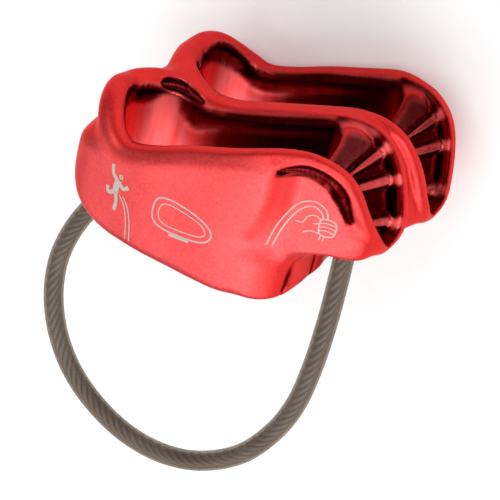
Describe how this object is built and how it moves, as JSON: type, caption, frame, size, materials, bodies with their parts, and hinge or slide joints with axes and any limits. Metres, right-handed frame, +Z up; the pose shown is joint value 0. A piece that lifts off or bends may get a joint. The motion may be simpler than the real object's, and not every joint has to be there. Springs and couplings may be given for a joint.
{
  "type": "rope descender",
  "caption": "Forged aluminium body with two parallel rope slots, a ribbed braking nose and a sheathed wire keeper loop crimped into it.",
  "frame": {"origin": "on the flat rear side face, which the part lies on, below the middle of the body's width and near the middle of its length", "axes": "+Z up, out of the front side face with the symbols; +Y from the keeper loop towards the rims where the rope enters; +X towards the ribbed nose"},
  "size_m": [0.0587, 0.0739, 0.046],
  "materials": {
    "anodised_body": "red anodised forging, satin outside, brighter in the rope slots, with pale etched symbols",
    "ferrules": "plain crimped steel",
    "cable_sheath": "smoke-tinted clear nylon",
    "wire_strands": "drawn galvanised wire"
  },
  "bodies": {
    "root": {"body": "anodised_body", "ferrule_left": "ferrules", "ferrule_right": "ferrules", "cable_end_left": "cable_sheath", "cable_end_right": "cable_sheath"},
    "keeper": {"keeper_sheath": "cable_sheath", "core_strand": "wire_strands", "outer_strand_1": "wire_strands", "outer_strand_2": "wire_strands", "outer_strand_3": "wire_strands", "outer_strand_4": "wire_strands", "outer_strand_5": "wire_strands", "outer_strand_6": "wire_strands"}
  },
  "joints": [
    {"name": "keeper_flex", "type": "hinge", "parent": "root", "child": "keeper", "pos_m": [0, -0.0165, 0.023], "axis": [1, 0, 0], "range_deg": [-18, 18], "stiffness_Nm_per_rad": 0.15}
  ]
}
